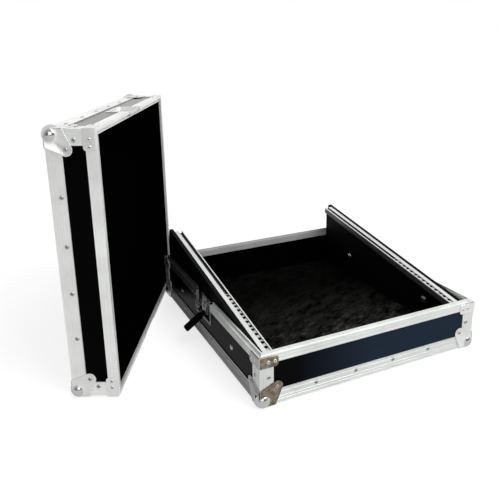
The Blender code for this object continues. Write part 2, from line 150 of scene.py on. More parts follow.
def object_coordinates(material, turn=(0, 0, 0), stretch=(1, 1, 1)):
    """Object coordinates, turned and then divided by the stretch."""
    source = node(material, "ShaderNodeTexCoord").outputs["Object"]
    inputs = {"Vector": source, "Rotation": turn, "Scale": stretch}
    return node(material, "ShaderNodeMapping", inputs, vector_type="TEXTURE").outputs["Vector"]


def coordinate(material, axis):
    """The object's X, Y or Z."""
    inputs = {"Vector": object_coordinates(material)}
    return node(material, "ShaderNodeSeparateXYZ", inputs).outputs[axis]


def dot(owner, source, direction):
    """How far a vector goes along a direction."""
    inputs = {0: source, 1: direction}
    return node(owner, "ShaderNodeVectorMath", inputs, operation="DOT_PRODUCT").outputs["Value"]


def maths(owner, operation, first, second):
    inputs = {0: first, 1: second}
    return node(owner, "ShaderNodeMath", inputs, operation=operation).outputs["Value"]


def mixed(owner, factor, first, second):
    inputs = {"Factor": factor, "A": first, "B": second}
    return node(owner, "ShaderNodeMix", inputs).outputs["Result"]


def noise(material, scale, detail=2.0, roughness=0.5, turn=(0, 0, 0), stretch=(1, 1, 1)):
    """Noise in object coordinates, which may be turned and stretched."""
    inputs = {"Vector": object_coordinates(material, turn, stretch), "Scale": scale,
              "Detail": detail, "Roughness": roughness}
    return node(material, "ShaderNodeTexNoise", inputs).outputs["Fac"]


def ranged(owner, source, low, high, from_low=0.3, from_high=0.7):
    """Value that runs from low to high while its source crosses a range."""
    inputs = {"Value": source, "From Min": from_low, "From Max": from_high,
              "To Min": low, "To Max": high}
    return node(owner, "ShaderNodeMapRange", inputs).outputs["Result"]


def ramp(material, source, *stops):
    made = node(material, "ShaderNodeValToRGB", {"Fac": source})
    elements = made.color_ramp.elements
    while len(elements) < len(stops):
        elements.new(0.5)
    for element, (position, colour) in zip(elements, stops):
        element.position = position
        element.color = (*colour, 1.0)
    return made.outputs["Color"]


def bump(material, height, strength, distance):
    inputs = {"Height": height, "Strength": strength, "Distance": distance}
    return node(material, "ShaderNodeBump", inputs).outputs["Normal"]


def extruded_aluminium(name, colour, turn, stretch):
    """Satin aluminium whose die lines run along the section."""
    material = new_material(name, colour, roughness=0.34, metallic=0.55)
    lines = noise(material, scale=1.0, detail=3.0, turn=turn, stretch=stretch)
    cloud = noise(material, scale=14.0, detail=3.0)
    bright = [min(1.0, value) for value in scaled(colour, 1.1)]
    shade(material, {
        "Base Color": ramp(material, cloud, (0.3, scaled(colour, 0.9)), (0.7, bright)),
        "Roughness": ranged(material, lines, 0.26, 0.44),
        "Normal": bump(material, lines, strength=0.25, distance=0.0002)})


def darken(material, direction, dark_at, light_at, least):
    """Paint shade: let the base colour fall to a share of itself along a direction of the object.
    """
    colour = shader_of(material).inputs["Base Color"].links[0].from_socket
    place = dot(material, object_coordinates(material), direction)
    inputs = {0: colour, "Scale": ranged(material, place, least, 1.0, dark_at, light_at)}
    shaded = node(material, "ShaderNodeVectorMath", inputs, operation="SCALE")
    shade(material, {"Base Color": shaded.outputs["Vector"]})


def black_laminate(name, colour, roughness, specular):
    """Black film on plywood: fine pebble grain and a slight unevenness of the gloss."""
    material = new_material(name, colour, roughness)
    cloud = noise(material, scale=7.0, detail=3.0)
    grain = noise(material, scale=900.0, detail=3.0)
    shade(material, {
        "Specular IOR Level": specular,
        "Roughness": ranged(material, cloud, roughness - 0.05, roughness + 0.08),
        "Normal": bump(material, grain, strength=0.3, distance=0.0002)})
    return material


def plated_steel(name, colour, roughness, metallic=1.0):
    """Plated sheet: cloudy gloss and slight waves from the press."""
    material = new_material(name, colour, roughness, metallic)
    cloud = noise(material, scale=45.0, detail=4.0)
    shade(material, {
        "Roughness": ranged(material, cloud, roughness - 0.05, roughness + 0.09),
        "Normal": bump(material, cloud, strength=0.12, distance=0.0006)})
    return material


def colour_setting(name, description, default):
    return bpy.props.FloatVectorProperty(name=name, description=description, size=3,
                                         subtype="COLOR", default=default)


def angle_setting(name, description, degrees):
    return bpy.props.FloatProperty(name=name, description=description, subtype="ANGLE",
                                   default=math.radians(degrees))


def length_setting(name, description, default):
    return bpy.props.FloatProperty(name=name, description=f"{description}, in millimetres",
                                   default=default)


class CameraSettings(bpy.types.PropertyGroup):
    """Viewpoint of the photograph."""
    place: bpy.props.FloatVectorProperty(
        name="Place", description="Where the camera stands", size=3, subtype="TRANSLATION",
        unit="LENGTH", default=tuple(TRAY.translation + Vector((-0.4134, -0.8781, 0.6828))))
    azimuth: angle_setting("Azimuth", "Turn of the view about the upright", -25.088)
    elevation: angle_setting("Elevation", "How far the view looks down", 15.915)
    roll: angle_setting("Roll", "Tilt of the picture", -0.995)
    lens: bpy.props.FloatProperty(
        name="Lens", description="Focal length on a 36 mm sensor", unit="CAMERA", default=42.055)
    shift: bpy.props.FloatVectorProperty(
        name="Shift", description="Shift of the frame, in picture widths", size=2,
        default=(-0.0107, -0.0912))


class FinishSettings(bpy.types.PropertyGroup):
    """Colours of the case."""
    aluminium: colour_setting("Aluminium", "Satin extrusions", (0.74, 0.76, 0.74))
    # Lighter copy of the aluminium: painted light on the lid's sections.
    lid_aluminium_painted_light: colour_setting(
        "Lid aluminium", "Lighter satin extrusions of the lid", (0.86, 0.87, 0.85))
    laminate: colour_setting("Laminate", "Black film on the panels", (0.0008, 0.0008, 0.0012))
    # Blue-black painted sheen towards the right of the front panel's film.
    laminate_painted_sheen: colour_setting(
        "Laminate far", "The film's blue-black towards the right side", (0.012, 0.022, 0.037))
    board: colour_setting(
        "Rail boards", "Matt black boards under the rack rails", (0.0015, 0.0015, 0.0018))
    chrome: colour_setting("Corners", "Chromed corners and closing brackets", (0.72, 0.73, 0.72))
    # Brown painted as a reflection on the chrome of the tray's front-left corner.
    reflection_brown: colour_setting(
        "Tarnish", "Browned chrome of the corner that is handled most", (0.24, 0.2, 0.15))
    zinc: colour_setting("Latch steel", "Plated dishes, hooks and tapped strips", (0.3, 0.3, 0.3))
    rivet: colour_setting("Rivets", "Rivet heads", (0.42, 0.42, 0.41))
    lacquer: colour_setting("Handles", "Black lacquer on the latch handles", (0.004, 0.004, 0.004))
    facing: colour_setting("Facing", "Black facing inside the lid", (0.0008, 0.0008, 0.0008))
    felt: colour_setting("Liner", "Felt on the tray's floor", (0.018, 0.0177, 0.0165))


class CornerSettings(bpy.types.PropertyGroup):
    """Ball corners, in millimetres."""
    ball: length_setting("Ball", "Diameter of the ball", 34.0)
    proud: length_setting("Ball proud", "How far the ball stands out of each face", 7.0)
    foot: length_setting("Leaf foot", "Length of a leaf along the case's edge", 34.0)
    tip: length_setting("Leaf tip", "Rivet's distance from both edges", 37.0)
    tip_radius: length_setting("Tip radius", "Radius of a leaf's tip", 12.5)
    skin: length_setting("Sheet", "Thickness of the pressed sheet", 1.2)


class RivetSettings(bpy.types.PropertyGroup):
    """Rivets of the aluminium sections, in millimetres."""
    radius: length_setting("Head", "Radius of a rivet's head", 4.4)
    pitch: length_setting("Pitch", "Distance between rivets", 94.8)
    from_edge: length_setting("From edge", "Distance of the rivets from the case's edge", 20.0)


class LatchSettings(bpy.types.PropertyGroup):
    """Places of the latches and their handles, in millimetres."""
    place: length_setting("From front", "Latch's distance from the case's front", 306.0)
    spindle_drop: length_setting("Spindle", "Spindle's distance below the tray's rim", 27.0)
    hinge_drop: length_setting("Hinge", "Handle hinge's distance below the spindle", 14.0)
    handle_open: angle_setting("Handle", "How far the handle is folded out", 125.0)


def new_object(name, bm, smooth=0.0):
    mesh = bpy.data.meshes.new(name)
    bm.to_mesh(mesh)
    bm.free()
    obj = bpy.data.objects.new(name, mesh)
    bpy.context.scene.collection.objects.link(obj)
    if smooth:
        mesh.shade_smooth()
        mesh.set_sharp_from_angle(angle=math.radians(smooth))
    return obj


class FLIGHTCASE_OT_stage(bpy.types.Operator):
    """Floor, lamps, white background and the camera"""
    bl_idname = "flightcase.stage"
    bl_label = "Stage"

    floor_half = 2.6
    floor_seen = 0.72
    floor_in_gloss = 0.36
    world_light = 0.45
    white = 1.0
    viewer_side = (-0.35, -0.9, -0.25)
    in_gloss = (1.0, 0.22)
    round_viewer = (-0.1, 0.75)
    lamps = (("key", (0.9, -1.7, 2.3), 2.2, 58.0), ("fill", (-1.1, -2.3, 1.1), 1.6, 12.0))
    lamps_aim = (0, 0, 0.2)

    def execute(self, context):
        scene = context.scene
        scene.view_settings.view_transform = "Standard"
        self.make_camera(scene)
        self.make_floor()
        self.make_world(scene)
        for name, place, size, power in self.lamps:
            self.make_lamp(scene, name, place, size, power)
        return {"FINISHED"}

    def make_camera(self, scene):
        settings = scene.flight_case_camera
        azimuth, elevation, roll = settings.azimuth, settings.elevation, settings.roll
        back = Vector((math.sin(azimuth) * math.cos(elevation),
                       -math.cos(azimuth) * math.cos(elevation), math.sin(elevation)))
        right = Vector((0, 0, 1)).cross(back).normalized()
        up = back.cross(right)
        axes = Matrix((right * math.cos(roll) + up * math.sin(roll),
                       up * math.cos(roll) - right * math.sin(roll), back)).transposed()
        data = bpy.data.cameras.new("view")
        data.lens = settings.lens
        data.shift_x, data.shift_y = settings.shift
        camera = bpy.data.objects.new("view", data)
        camera.matrix_world = Matrix.Translation(settings.place) @ axes.to_4x4()
        scene.collection.objects.link(camera)
        scene.camera = camera

    def make_floor(self):
        """Pale floor that takes shadows and adds light only to what looks at it."""
        bm = bmesh.new()
        bmesh.ops.create_grid(bm, x_segments=1, y_segments=1, size=self.floor_half)
        floor = new_object("floor", bm)
        material = new_material("pale_floor", (0.45, 0.45, 0.45), 0.9)
        path = node(material, "ShaderNodeLightPath")
        seen, through, gloss = (
            ranged(material, path.outputs[ray], 0.0, share, 0.0, 1.0)
            for ray, share in (("Is Camera Ray", self.floor_seen),
                               ("Is Transmission Ray", self.floor_seen),
                               ("Is Glossy Ray", self.floor_in_gloss)))
        strength = maths(material, "ADD", maths(material, "ADD", seen, through), gloss)
        glow = node(material, "ShaderNodeEmission", {"Strength": strength})
        both = node(material, "ShaderNodeAddShader",
                    {0: shader_of(material).outputs["BSDF"], 1: glow.outputs["Emission"]})
        output = material.node_tree.nodes["Material Output"]
        fill(material, output, {"Surface": both.outputs["Shader"]})
        floor.data.materials.append(material)

    def make_world(self, scene):
        """White to the camera; reflections see it darker on the side the viewer stands on."""
        world = bpy.data.worlds.new("studio")
        scene.world = world
        world.use_nodes = True
        direction = node(world, "ShaderNodeTexCoord").outputs["Generated"]
        side = dot(world, direction, Vector(self.viewer_side).normalized())
        path = node(world, "ShaderNodeLightPath")
        reflected = ranged(world, side, *self.in_gloss, *self.round_viewer)
        light = mixed(world, path.outputs["Is Glossy Ray"], self.world_light, reflected)
        seen = maths(world, "MAXIMUM", path.outputs["Is Camera Ray"],
                     path.outputs["Is Transmission Ray"])
        fill(world, world.node_tree.nodes["Background"],
             {"Color": (1.0, 1.0, 1.0, 1.0), "Strength": mixed(world, seen, light, self.white)})

    def make_lamp(self, scene, name, place, size, power):
        data = bpy.data.lights.new(name, "AREA")
        data.size = size
        data.energy = power
        lamp = bpy.data.objects.new(name, data)
        lamp.location = place
        towards = Vector(self.lamps_aim) - Vector(place)
        lamp.rotation_euler = towards.to_track_quat("-Z", "Y").to_euler()
        scene.collection.objects.link(lamp)


class FLIGHTCASE_OT_finishes(bpy.types.Operator):
    """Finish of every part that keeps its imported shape, and of the pieces made after it"""
    bl_idname = "flightcase.finishes"
    bl_label = "Finishes"

    long = 0.25
    fine = 0.0007
    bead_grain = 0.02
    # Span in x over which the painted sheen comes in.
    painted_sheen_span = (-0.05, 0.13)
    felt_painted_light = (-0.25, 0.05)
    # Painted shade in the rack rails' slots, below the rails' faces.
    rail_up = (0.0, -0.16117, 0.98693)
    rail_slot = (0.15641, 0.15891)
    left_leaves = (-0.1305, -0.1295)
    shaded_half = (0.0, 0.12)
    colour_a, colour_b, mixed_colour = 6, 7, 2
    slots = {"laminate": "black_film", "board": "matt_board", "zinc": "zinc_plate",
             "chrome": "corner_chrome", "black_steel": "black_lacquer", "felt": "crushed_felt"}
    single_parts = {"lid_left_panel": "glossy_laminate", "tray_front_panel": "painted_sheen_film",
                    "tray_left_edge": "aluminium_painted_shade_along",
                    "tray_left_closing_rail": "aluminium_shaded_along",
                    "left_rack_rail": "rail_aluminium", "right_rack_rail": "rail_aluminium",
                    "left_tapped_strip": "strip_zinc", "right_tapped_strip": "strip_zinc"}

    def execute(self, context):
        colours = context.scene.flight_case_finish
        self.make_aluminium(colours.aluminium, colours.lid_aluminium_painted_light)
        for name, colour, roughness, specular in (
                ("black_film", colours.laminate, 0.2, 0.02),
                ("glossy_laminate", colours.laminate, 0.2, 0.4),
                ("matt_board", colours.board, 0.55, 0.05),
                ("black_lacquer", colours.lacquer, 0.35, 0.1),
                ("lid_facing", colours.facing, 0.9, 0.0),
                ("black_thread", colours.lacquer, 0.5, 0.1)):
            black_laminate(name, colour, roughness, specular)
        for name, colour, roughness, metallic in (
                ("zinc_plate", colours.zinc, 0.27, 1.0),
                # Darker copy of the latch steel: painted shade on the tray's latch dishes.
                ("latch_plate", scaled(colours.zinc, 0.4), 0.22, 1.0),
                ("bolt_zinc", scaled(colours.zinc, 1.7), 0.25, 1.0),
                ("strip_zinc", scaled(colours.zinc, 1.9), 0.3, 1.0),
                ("corner_chrome", scaled(colours.chrome, 0.78), 0.07, 1.0),
                ("bracket_chrome", scaled(colours.chrome, 1.1), 0.28, 0.6),
                ("keeper_plate", colours.chrome, 0.3, 0.7),
                ("rivet_head", colours.rivet, 0.3, 1.0),
                ("bracket_rivet", scaled(colours.rivet, 1.6), 0.3, 1.0)):
            plated_steel(name, colour, roughness, metallic)
        self.make_front_sheen(colours.laminate, colours.laminate_painted_sheen)
        self.make_painted_reflection(colours.reflection_brown, colours.chrome)
        self.make_felt(colours.felt)
        self.make_recess_shade()
        for slot, finish in self.slots.items():
            for name in nodes_of(slot):
                self.give(name, finish)
        for name in nodes_of("aluminium"):
            self.give(name, self.grain_of(name))
        for name, finish in self.single_parts.items():
            self.give(name, finish)
        return {"FINISHED"}

    def make_aluminium(self, colour, lid_painted_light_colour):
        across = (self.long, self.fine, self.fine)
        along = (self.fine, self.long, self.fine)
        upright = (self.fine, self.fine, self.long)
        for name, tone, turn, stretch in (
                ("aluminium_across", colour, 0, across),
                ("aluminium_along", colour, 0, along),
                ("aluminium_upright", colour, 0, upright),
                # The lid's sections take the lighter copy, which is painted light.
                ("aluminium_lid_upright", lid_painted_light_colour, 0, upright),
                ("aluminium_lid_along", lid_painted_light_colour, LID_TURN, along),
                ("aluminium_lid_out", lid_painted_light_colour, LID_TURN, across),
                ("bead_aluminium", colour, 0, (self.bead_grain,) * 3),
                ("rail_aluminium", colour, 0, along),
                ("aluminium_shaded_along", colour, 0, along),
                # The tray's left edge: painted shade at 0.42 of the colour.
                ("aluminium_painted_shade_along", scaled(colour, 0.42), 0, along)):
            extruded_aluminium(name, tone, (0, 0, turn), stretch)
        # Painted shade: in the rack rails' slots, and towards the rear of the tray's left flank.
        for name, direction, reach, least in (
                ("rail_aluminium", self.rail_up, self.rail_slot, 0.12),
                ("aluminium_shaded_along", (0, -1, 0), self.shaded_half, 0.16),
                ("aluminium_painted_shade_along", (0, -1, 0), self.shaded_half, 0.14)):
            darken(bpy.data.materials[name], direction, *reach, least)

    def make_front_sheen(self, colour, painted_sheen_colour):
        """Film of the front panel, black at its left, with a blue-black painted sheen towards its
        right.
        """
        film = black_laminate("painted_sheen_film", colour, 0.2, 0.03)
        place = ranged(film, coordinate(film, "X"), 0.0, 1.0, *self.painted_sheen_span)
        shade(film, {"Base Color": ramp(film, place, (0.0, colour), (1.0, painted_sheen_colour))})

    def make_painted_reflection(self, brown, plain_chrome):
        """Blotchy brown painted as a reflection on the front leaves of a corner; its left leaves
        get a darker plain chrome.
        """
        chrome = plated_steel("painted_reflection_chrome", brown, 0.24)
        blotches = noise(chrome, scale=120.0, detail=4.0)
        painted_brown = ramp(chrome, blotches, (0.35, scaled(brown, 0.6)), (0.65, scaled(brown, 1.4)))
        front = ranged(chrome, coordinate(chrome, "X"), 0.0, 1.0, *self.left_leaves)
        inputs = {"Factor": front, self.colour_a: (*scaled(plain_chrome, 0.6), 1.0),
                  self.colour_b: painted_brown}
        blend = node(chrome, "ShaderNodeMix", inputs, data_type="RGBA")
        shade(chrome, {"Base Color": blend.outputs[self.mixed_colour]})

    def make_recess_shade(self):
        """Painted shade in the bores of the hollow rivets and in the spindle's slot."""
        core = new_material("painted_recess_shade", (0.02, 0.02, 0.02), 0.7)
        shades = ((0.3, (0.008, 0.008, 0.008)), (0.7, (0.05, 0.05, 0.05)))
        shade(core, {"Base Color": ramp(core, noise(core, scale=300.0), *shades)})

    def make_felt(self, colour):
        """Black felt, mottled in crushed patches; painted light greys it towards the front and
        painted shade blackens it towards the rear.
        """
        felt = new_material("crushed_felt", colour, 0.95)
        crushed = noise(felt, scale=26.0, detail=6.0, roughness=0.72, turn=(0, 0, 0.5),
                        stretch=(1.0, 0.45, 1.0))
        # Painted light towards the front, painted shade towards the rear.
        front = ranged(felt, coordinate(felt, "Y"), 1.0, 0.12, *self.felt_painted_light)
        mottle_and_painted_light = maths(felt, "MULTIPLY", ranged(felt, crushed, 0.0, 1.0, 0.38, 0.66), front)
        stops = ((0.0, scaled(colour, 0.08)), (0.45, colour), (1.0, scaled(colour, 5.0)))
        fibres = noise(felt, scale=600.0, detail=6.0, roughness=0.7)
        shade(felt, {"Specular IOR Level": 0.0, "Base Color": ramp(felt, mottle_and_painted_light, *stops),
                     "Normal": bump(felt, fibres, strength=0.6, distance=0.0008)})

    def give(self, name, finish):
        mesh = frame["nodes"][name].data
        mesh.materials.clear()
        mesh.materials.append(bpy.data.materials[finish])

    def grain_of(self, name):
        """Aluminium whose die lines run along the section of that name."""
        on_lid = name.startswith("lid")
        if name.endswith("_post"):
            return "aluminium_lid_out" if on_lid else "aluminium_upright"
        crosswise = name.split("_")[1] in ("front", "rear")
        if on_lid:
            return "aluminium_lid_upright" if crosswise else "aluminium_lid_along"
        return "aluminium_across" if crosswise else "aluminium_along"


def wall_frame(shell, index):
    """Frame of one wall: x along it, y inward, z to the rim; its corner is at x = 0."""
    corners = ((0, 0), (WIDTH, 0), (WIDTH, LENGTH), (0, LENGTH))
    return shell @ moved(*corners[index], 0) @ spun(90 * index, "Z")


def wall_length(index):
    return LENGTH if index % 2 else WIDTH


def facing_out(along, up, proud=0.0):
    """Place on a wall's outer face, where local z points outward."""
    return moved(along, -proud, up) @ spun(90, "X")


def facing_across(along, up, proud=0.0):
    """The same on the neighbouring wall that meets this one at x = 0."""
    return moved(-proud, along, up) @ spun(-90, "Y")


def facing_down(along, inward):
    """Place on the closed face of the shell."""
    return moved(along, inward, 0) @ spun(180, "X")


def everything(bm):
    return bm.verts[:] + bm.edges[:] + bm.faces[:]


def placed(bm, matrix):
    bmesh.ops.transform(bm, matrix=matrix, verts=bm.verts)
    return bm


def outward(bm):
    bmesh.ops.recalc_face_normals(bm, faces=bm.faces)
    return bm


def block(size, middle):
    bm = bmesh.new()
    bmesh.ops.create_cube(bm, size=1.0)
    bmesh.ops.scale(bm, vec=size, verts=bm.verts)
    return placed(bm, moved(*middle))


def turned(profile, steps):
    """Closed shape turned about z from a profile of (radius, height)."""
    bm = bmesh.new()
    verts = [bm.verts.new((radius, 0.0, height)) for radius, height in profile]
    edges = [bm.edges.new(pair) for pair in zip(verts, verts[1:])]
    bmesh.ops.spin(bm, geom=verts + edges, cent=(0, 0, 0), axis=(0, 0, 1), dvec=(0, 0, 0),
                   angle=2 * math.pi, steps=steps, use_merge=True)
    bmesh.ops.remove_doubles(bm, verts=bm.verts, dist=0.001)
    return outward(bm)


def outline_face(bm, corners):
    """Flat face in x and y from (x, y, radius) corners; a radius of 0 stays sharp."""
    verts = [bm.verts.new((x, y, 0.0)) for x, y, _radius in corners]
    bm.faces.new(verts)
    for vert, (_x, _y, radius) in zip(verts, corners):
        if radius:
            bmesh.ops.bevel(bm, geom=[vert], offset=radius, offset_type="OFFSET", segments=6,
                            profile=0.5, affect="VERTICES", material=-1)
    return bm.faces[:]


def round_end(centre, radius, start, end, count):
    """Corners round a centre whose roundings almost meet in one arc, for outline_face."""
    share = 0.97
    half = (end - start) / count / 2
    for step in range(count):
        angle = start + (2 * step + 1) * half
        away = radius / math.cos(half)
        yield (centre.x + away * math.cos(angle), centre.y + away * math.sin(angle),
               share * radius * math.tan(half))


def raised(bm, faces, height):
    """Extrude the faces along z and return the moved ones."""
    grown = bmesh.ops.extrude_face_region(bm, geom=faces)
    verts = [item for item in grown["geom"] if isinstance(item, bmesh.types.BMVert)]
    bmesh.ops.translate(bm, vec=(0, 0, height), verts=verts)
    return [item for item in grown["geom"] if isinstance(item, bmesh.types.BMFace)]


def stepped(bm, faces, *steps):
    """Inset the faces in steps of (width, depth)."""
    for width, depth in steps:
        bmesh.ops.inset_region(bm, faces=faces, thickness=width, depth=depth,
                               use_even_offset=True)


def soften(bm, edges, offset, segments=2):
    bmesh.ops.bevel(bm, geom=list(edges), offset=offset, offset_type="OFFSET", segments=segments,
                    profile=0.5, affect="EDGES", clamp_overlap=True, material=-1)


def joined(first, *others):
    """Add the other meshes' separate bodies to the first one."""
    for other in others:
        mesh = bpy.data.meshes.new("joined")
        other.to_mesh(mesh)
        other.free()
        first.from_mesh(mesh)
        bpy.data.meshes.remove(mesh)
    return first


def repeated(template, matrices):
    """One mesh with a copy of a small shape at every matrix."""
    mesh = bpy.data.meshes.new("repeated")
    template.to_mesh(mesh)
    template.free()
    made = bmesh.new()
    for matrix in matrices:
        copy = mesh.copy()
        copy.transform(matrix)
        made.from_mesh(copy)
        bpy.data.meshes.remove(copy)
    bpy.data.meshes.remove(mesh)
    return made


def put(name, bm, matrix, body, materials, replaced=()):
    """Turn a mesh drawn in millimetres in a local frame into a piece that rides on a body."""
    obj = new_object(name, placed(bm, matrix), SHARP_FROM)
    for material in materials:
        obj.data.materials.append(bpy.data.materials[material])
    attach(obj, body)
    if replaced:
        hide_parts(*replaced)


SHELLS = (
    ("tray", TRAY, TRAY_TOP, ("front_left", "front_right", "rear_right", "rear_left"),
     ("front", "right", "rear", "left")),
    ("lid", LID, LID_TOP, ("rear_left", "rear_right", "front_right", "front_left"),
     ("rear", "right", "front", "left")),
)


class FLIGHTCASE_OT_ball_corners(bpy.types.Operator):
    """Pressed corner at each point of the case: a ball and three riveted leaves"""
    bl_idname = "flightcase.ball_corners"
    bl_label = "Ball corners"

    under = 0.3
    inside_ball = 8.0
    kept_from_middle = 1.0
    pressed = ((2.0, 0.0), (0.6, -0.4))
    round_rim = 0.45
    rivet = 4.0
    rivet_sunk = 0.3

    def execute(self, context):
        for prefix, shell, _top, corners, _sides in SHELLS:
            for index, corner in enumerate(corners):
                name = f"{prefix}_{corner}_ball_corner"
                # The tray's front-left corner takes chrome with a painted brown reflection.
                chrome = "painted_reflection_chrome" if (prefix, index) == ("tray", 0) else "bracket_chrome"
                put(f"{prefix}_{corner}_pressed_corner", self.corner(), wall_frame(shell, index),
                    prefix, (chrome, "rivet_head", "painted_recess_shade", "corner_chrome"),
                    (name,))
        return {"FINISHED"}

    def corner(self):
        settings = bpy.context.scene.flight_case_corner
        radius = settings.ball / 2
        centre = radius - settings.proud
        top = self.under + settings.skin
        ball = bmesh.new()
        bmesh.ops.create_uvsphere(ball, u_segments=40, v_segments=24, radius=radius)
        placed(ball, moved(centre, centre, centre))
        for axis in range(3):
            normal = [float(axis == item) for item in range(3)]
            bmesh.ops.bisect_plane(ball, geom=everything(ball), plane_co=normal, plane_no=normal)
        inner = [face for face in ball.faces
                 if min(face.calc_center_median()) > self.kept_from_middle]
        bmesh.ops.delete(ball, geom=inner, context="FACES")
        for face in ball.faces:
            face.material_index = 3
        leaf = joined(self.leaf(settings, top), self.flare(radius, centre, top))
        leaves = repeated(leaf, [spun(120 * step, Vector((1, 1, 1))) @ facing_out(0, 0)
                                 for step in range(3)])
        return joined(ball, leaves)

    def leaf(self, settings, top):
        """One leaf, drawn in x and y, with its outer face up."""
        foot = Vector((settings.foot, -top))
        tip = Vector((settings.tip, settings.tip))
        towards = tip - foot
        lean = math.atan2(towards.y, towards.x) - math.asin(settings.tip_radius / towards.length)
        bm = bmesh.new()
        faces = outline_face(bm, (
            (-top, self.inside_ball, 0), (self.inside_ball, -top, 0), (settings.foot, -top, 0),
            *round_end(tip, settings.tip_radius, lean - math.pi / 2, math.pi - lean, 3),
            (-top, settings.foot, 0)))
        placed(bm, moved(0, 0, self.under))
        outer = raised(bm, faces, settings.skin)
        near = 0.1
        rim = [edge for edge in outer[0].edges
               if max(vert.co.x for vert in edge.verts) > near - top
               and max(vert.co.y for vert in edge.verts) > near - top
               and max(vert.co.x + vert.co.y for vert in edge.verts) > self.inside_ball]
        stepped(bm, outer, *self.pressed)
        soften(bm, rim, self.round_rim)
        on_tip = moved(settings.tip, settings.tip, top - self.rivet_sunk)
        return joined(bm, placed(rivet_head(self.rivet), on_tip))

    def flare(self, radius, centre, top):
        """Ring where the pressed ball runs out into a leaf, cut off at the leaf's edges."""
        def on_ball(height):
            return math.sqrt(radius ** 2 - (centre + height) ** 2)

        outer = on_ball(top) + 3.0
        ring = turned(((0.0, top - 0.6), (outer, top - 0.6), (outer, top - 0.4),
                       (outer - 1.3, top - 0.2), (outer - 2.4, top + 0.2),
                       (on_ball(top + 0.5) + 0.25, top + 0.5), (on_ball(top + 0.95), top + 0.95),
                       (on_ball(top + 0.95) - 1.0, top + 0.95), (0.0, top + 0.9)), 40)
        placed(ring, moved(centre, centre, 0))
        for place, normal in (((-top, 0, 0), (-1, 0, 0)), ((0, -top, 0), (0, -1, 0)),
                              ((self.inside_ball, -top, 0), (-1, -1, 0))):
            cut = bmesh.ops.bisect_plane(ring, geom=everything(ring), plane_co=place,
                                         plane_no=normal, clear_outer=True)
            edges = [item for item in cut["geom_cut"] if isinstance(item, bmesh.types.BMEdge)]
            bmesh.ops.holes_fill(ring, edges=edges, sides=0)
        return outward(ring)


def rivet_head(radius):
    """Hollow rivet seen from above: a domed flange round a bore painted in shade."""
    bore = radius * 0.34
    bm = turned(((0.0, 0.3), (bore * 0.95, 0.3), (bore, radius * 0.26),
                 (bore * 1.35, radius * 0.36), (radius * 0.72, radius * 0.27),
                 (radius * 0.94, radius * 0.13), (radius, 0.0), (radius * 0.96, -0.3),
                 (0.0, -0.3)), 18)
    for face in bm.faces:
        middle = face.calc_center_median()
        face.material_index = 2 if middle.xy.length < bore and middle.z > 0 else 1
    return bm


class FLIGHTCASE_OT_closing_brackets(bpy.types.Operator):
    """Pressed bracket round each upper corner, with two rivets a leaf"""
    bl_idname = "flightcase.closing_brackets"
    bl_label = "Closing brackets"

    reach = 40.4
    tall = 23.0
    corner = 6.5
    below_rim = 2.0
    proud = 1.75
    fold = 0.7
    fold_steps = 4
    sheet = 1.4
    rim_wide = 0.5
    rim = 0.4
    rivets = (19.0, 33.0)
    rivet = 3.9
    rivet_sunk = 0.2

    def execute(self, context):
        for prefix, shell, top, _corners, _sides in SHELLS:
            low = top - self.below_rim - self.tall
            places = [wall_frame(shell, index) @ moved(0, 0, low) for index in range(4)]
            plates = repeated(self.plate(), places[1:])
            # On the tray, the front-left plate takes chrome with a painted brown reflection.
            painted_brown = repeated(self.plate(), places[:1])
            for face in painted_brown.faces:
                face.material_index = 3 if prefix == "tray" else 0
            joined(plates, painted_brown)
            middle = self.tall / 2
            heads = repeated(rivet_head(self.rivet), [
                place @ face(along, middle, self.proud - self.rivet_sunk)
                for place in places for along in self.rivets
                for face in (facing_out, facing_across)])
            put(f"{prefix}_closing_brackets", joined(plates, heads), IN_PLACE, prefix,
                ("bracket_chrome", "bracket_rivet", "painted_recess_shade", "painted_reflection_chrome"))
        return {"FINISHED"}

    def plate(self):
        """Flat blank with round ends, folded round the corner."""
        arc = self.fold * math.pi / 4
        half = self.reach + arc - (self.fold - self.proud)
        bm = bmesh.new()
        faces = outline_face(bm, ((-half, 0, self.corner), (half, 0, self.corner),
                                  (half, self.tall, self.corner),
                                  (-half, self.tall, self.corner)))
        back = bm.verts[:]
        faces = raised(bm, faces, self.sheet)
        stepped(bm, faces, (self.rim_wide, self.rim))
        placed(bm, moved(0, 0, -self.sheet))
        hidden = [face for face in bm.faces if all(vert in back for vert in face.verts)]
        bmesh.ops.delete(bm, geom=hidden, context="FACES_ONLY")
        for step in range(-self.fold_steps, self.fold_steps + 1):
            bmesh.ops.bisect_plane(bm, geom=everything(bm), plane_no=(1, 0, 0),
                                   plane_co=(arc * step / self.fold_steps, 0, 0))
        for vert in bm.verts:
            vert.co = self.folded(vert.co, arc)
        return outward(bm)

    def folded(self, point, arc):
        """Point of the blank, (along, up, height above the sheet's rim), on the folded sheet."""
        along, up, height = point
        centre = self.fold - self.proud
        turn = max(-1.0, min(1.0, along / arc)) * math.pi / 4
        rest = max(0.0, abs(along) - arc)
        radius = self.fold - self.rim + height
        angle = -3 * math.pi / 4 + turn
        x = centre + radius * math.cos(angle) + (rest if along > 0 else 0.0)
        y = centre + radius * math.sin(angle) + (rest if along < 0 else 0.0)
        return Vector((x, y, up))


